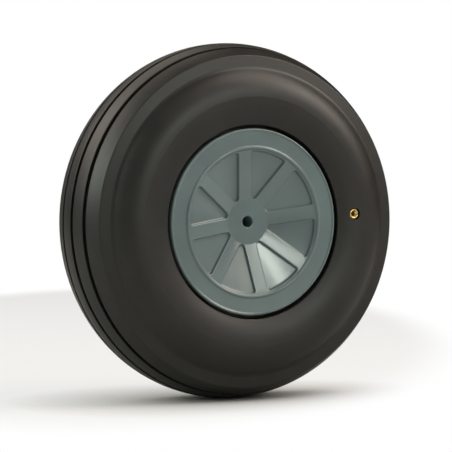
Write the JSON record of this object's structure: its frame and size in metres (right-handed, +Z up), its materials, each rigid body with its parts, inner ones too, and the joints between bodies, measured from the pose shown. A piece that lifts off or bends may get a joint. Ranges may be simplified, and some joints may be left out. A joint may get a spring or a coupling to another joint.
{
  "type": "model aircraft wheel",
  "caption": "Upright model-aircraft wheel with a hollow treaded rubber tyre, a dished spoked hub in two moulded halves, a plain axle hole and a sidewall inflation valve.",
  "frame": {"origin": "wheel centre, on the axle hole's axis at the mid-plane", "axes": "+Y along the axle toward the inner face, -Y out of the outer face, +Z up, +X to the right seen from the outer face"},
  "size_m": [0.1524, 0.052, 0.1524],
  "materials": {
    "tyre_rubber": "satin",
    "hub_plastic": "satin",
    "screw_steel": "zinc plated",
    "valve_brass": "turned",
    "seal_rubber": "matte",
    "spring_steel": "drawn wire"
  },
  "bodies": {
    "wheel": {"tyre": "tyre_rubber", "outer_hub_half": "hub_plastic", "inner_hub_half": "hub_plastic", "hub_screws": "screw_steel", "valve_body": "valve_brass", "valve_washer": "valve_brass", "valve_nut": "valve_brass", "valve_retainer": "valve_brass", "valve_spring": "spring_steel"},
    "pin": {"valve_pin": "valve_brass", "valve_seal": "seal_rubber"}
  },
  "joints": [
    {"name": "pin_slide", "type": "slide", "parent": "wheel", "child": "pin", "axis": [0, 1, 0], "range_m": [0, 0.001], "stiffness_N_per_m": 400, "springref_m": -0.001, "deforming": ["valve_spring"]}
  ]
}
